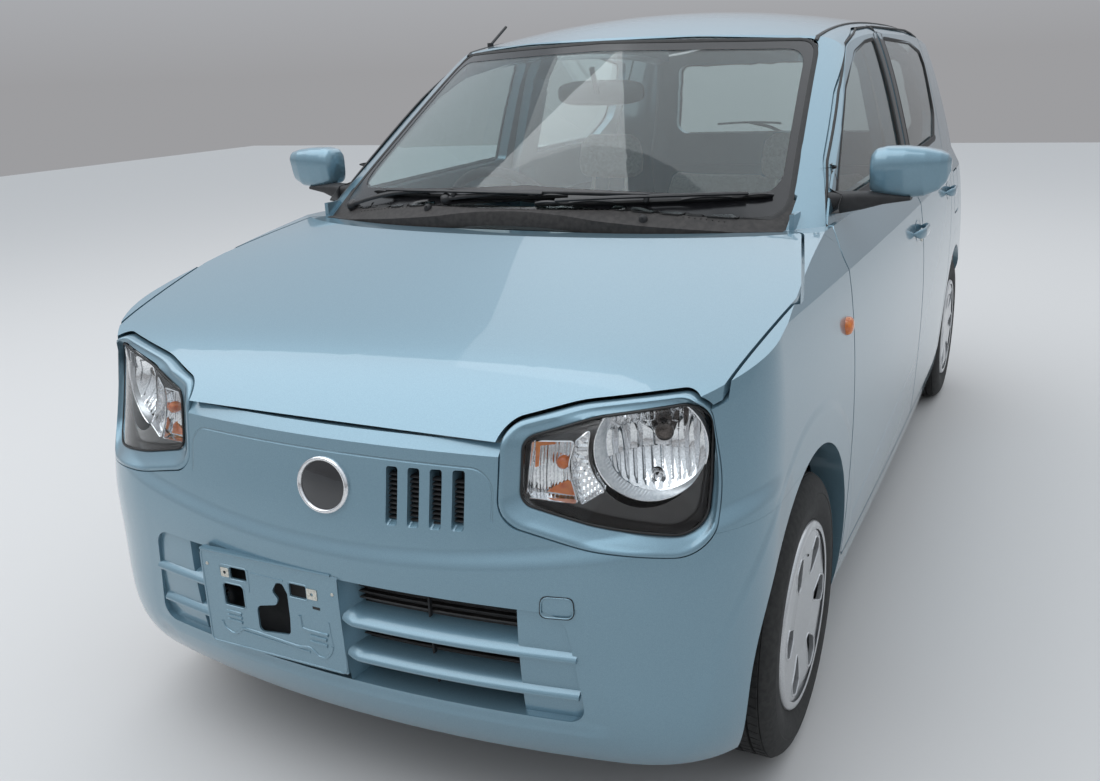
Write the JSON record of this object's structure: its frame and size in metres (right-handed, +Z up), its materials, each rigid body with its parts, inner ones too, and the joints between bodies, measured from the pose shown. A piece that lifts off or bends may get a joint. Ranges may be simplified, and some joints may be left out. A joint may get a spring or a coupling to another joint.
{
  "type": "five-door kei hatchback car",
  "caption": "Small boxy hatchback car with hinged doors, bonnet, tailgate and fuel lid, steered front wheels, turning wheels and a furnished cabin.",
  "frame": {"origin": "on the ground at the middle of the car's length and width", "axes": "+Z up, -Y towards the nose, +X towards the car's left side"},
  "size_m": [1.752, 3.3936, 1.4752],
  "materials": {
    "body_paint": "light metallic blue-grey, glossy",
    "underbody": "dull body colour",
    "black_plastic": "grained black",
    "dashboard_plastic": "grained dark grey",
    "glass": "clear, faint green",
    "clear_lens": "clear",
    "lamp_dish": "bright",
    "red_lens": "clear red",
    "amber_lens": "clear amber",
    "engine_metal": "plain cast",
    "black_steel": "dull black",
    "exhaust_steel": "dull",
    "seat_cloth": "woven, light",
    "tyre_rubber": "dull",
    "wheel_silver": "silver"
  },
  "bodies": {
    "car": {"aerial": "black_plastic", "bumper_mesh": "black_plastic", "bumper_slats": "body_paint", "cowl_panel": "black_plastic", "dashboard": "dashboard_plastic", "engine_block": "engine_metal", "exhaust": "exhaust_steel", "fender_left": "body_paint", "fender_right": "body_paint", "floor_pan": "underbody", "front_bumper": "body_paint", "front_frame": "underbody", "front_linings": "black_plastic", "front_seats": "seat_cloth", "front_suspension": "black_steel", "fuel_tank": "black_steel", "headlamp_dishes": "lamp_dish", "headlamp_lenses": "clear_lens", "headlamp_surrounds": "body_paint", "indicators": "amber_lens", "plate_panel": "body_paint", "rear_axle": "black_steel", "rear_bench": "seat_cloth", "rear_bumper": "body_paint", "rear_linings": "black_plastic", "roof_panel": "body_paint", "side_frame_left": "body_paint", "side_frame_right": "body_paint", "tail_lamps": "red_lens", "windscreen": "glass", "wipers": "black_plastic"},
    "bonnet": {"bonnet": "body_paint"},
    "tailgate": {"tailgate": "body_paint", "tailgate_glass": "glass"},
    "fuel_lid": {"fuel_lid": "body_paint"},
    "steering_wheel": {"steering_wheel": "dashboard_plastic"},
    "knuckle_left": {"knuckle_left": "black_steel"},
    "knuckle_right": {"knuckle_right": "black_steel"},
    "wheel_front_left": {"tyre_front_left": "tyre_rubber", "wheel_front_left": "wheel_silver"},
    "door_front_left": {"door_front_left": "body_paint", "glass_front_left": "glass", "mirror_left": "body_paint"},
    "wheel_front_right": {"tyre_front_right": "tyre_rubber", "wheel_front_right": "wheel_silver"},
    "door_front_right": {"door_front_right": "body_paint", "glass_front_right": "glass", "mirror_right": "body_paint"},
    "wheel_rear_left": {"tyre_rear_left": "tyre_rubber", "wheel_rear_left": "wheel_silver"},
    "door_rear_left": {"door_rear_left": "body_paint", "glass_rear_left": "glass"},
    "wheel_rear_right": {"tyre_rear_right": "tyre_rubber", "wheel_rear_right": "wheel_silver"},
    "door_rear_right": {"door_rear_right": "body_paint", "glass_rear_right": "glass"}
  },
  "joints": [
    {"name": "bonnet_hinge", "type": "hinge", "parent": "car", "child": "bonnet", "pos_m": [0, -0.85, 1], "axis": [-1, 0, 0], "range_deg": [0, 50]},
    {"name": "tailgate_hinge", "type": "hinge", "parent": "car", "child": "tailgate", "pos_m": [0, 1.504, 1.384], "axis": [1, 0, 0], "range_deg": [0, 78]},
    {"name": "fuel_lid_hinge", "type": "hinge", "parent": "car", "child": "fuel_lid", "pos_m": [0.729, 1.236, 0.82], "axis": [0, 0, -1], "range_deg": [0, 95]},
    {"name": "door_front_left_hinge", "type": "hinge", "parent": "car", "child": "door_front_left", "pos_m": [0.73, -0.785, 0.6], "axis": [0, 0, -1], "range_deg": [0, 66]},
    {"name": "door_front_right_hinge", "type": "hinge", "parent": "car", "child": "door_front_right", "pos_m": [-0.73, -0.785, 0.6], "axis": [0, 0, 1], "range_deg": [0, 66]},
    {"name": "door_rear_left_hinge", "type": "hinge", "parent": "car", "child": "door_rear_left", "pos_m": [0.7345, 0.28, 0.6], "axis": [0, 0, -1], "range_deg": [0, 68]},
    {"name": "door_rear_right_hinge", "type": "hinge", "parent": "car", "child": "door_rear_right", "pos_m": [-0.7345, 0.28, 0.6], "axis": [0, 0, 1], "range_deg": [0, 68]},
    {"name": "steering", "type": "hinge", "parent": "car", "child": "steering_wheel", "pos_m": [-0.33, -0.37, 0.9], "axis": [0, 0.9063, 0.4226], "range_deg": [-544, 544]},
    {"name": "steer_left", "type": "hinge", "parent": "car", "child": "knuckle_left", "pos_m": [0.59, -1.14, 0.175], "axis": [-0.158, 0, 0.9874], "range_deg": [-34, 34]},
    {"name": "steer_right", "type": "hinge", "parent": "car", "child": "knuckle_right", "pos_m": [-0.59, -1.14, 0.175], "axis": [0.158, 0, 0.9874], "range_deg": [-34, 34]},
    {"name": "wheel_front_left_spin", "type": "hinge", "parent": "knuckle_left", "child": "wheel_front_left", "pos_m": [0.6475, -1.14, 0.281], "axis": [1, 0, 0], "continuous": true},
    {"name": "wheel_rear_left_spin", "type": "hinge", "parent": "car", "child": "wheel_rear_left", "pos_m": [0.6475, 1.32, 0.281], "axis": [1, 0, 0], "continuous": true},
    {"name": "wheel_front_right_spin", "type": "hinge", "parent": "knuckle_right", "child": "wheel_front_right", "pos_m": [-0.6475, -1.14, 0.281], "axis": [1, 0, 0], "continuous": true},
    {"name": "wheel_rear_right_spin", "type": "hinge", "parent": "car", "child": "wheel_rear_right", "pos_m": [-0.6475, 1.32, 0.281], "axis": [1, 0, 0], "continuous": true}
  ],
  "couplings": [
    {"joint": "steer_left", "follows": "steering", "ratio": 0.0625},
    {"joint": "steer_right", "follows": "steering", "ratio": 0.0625}
  ]
}
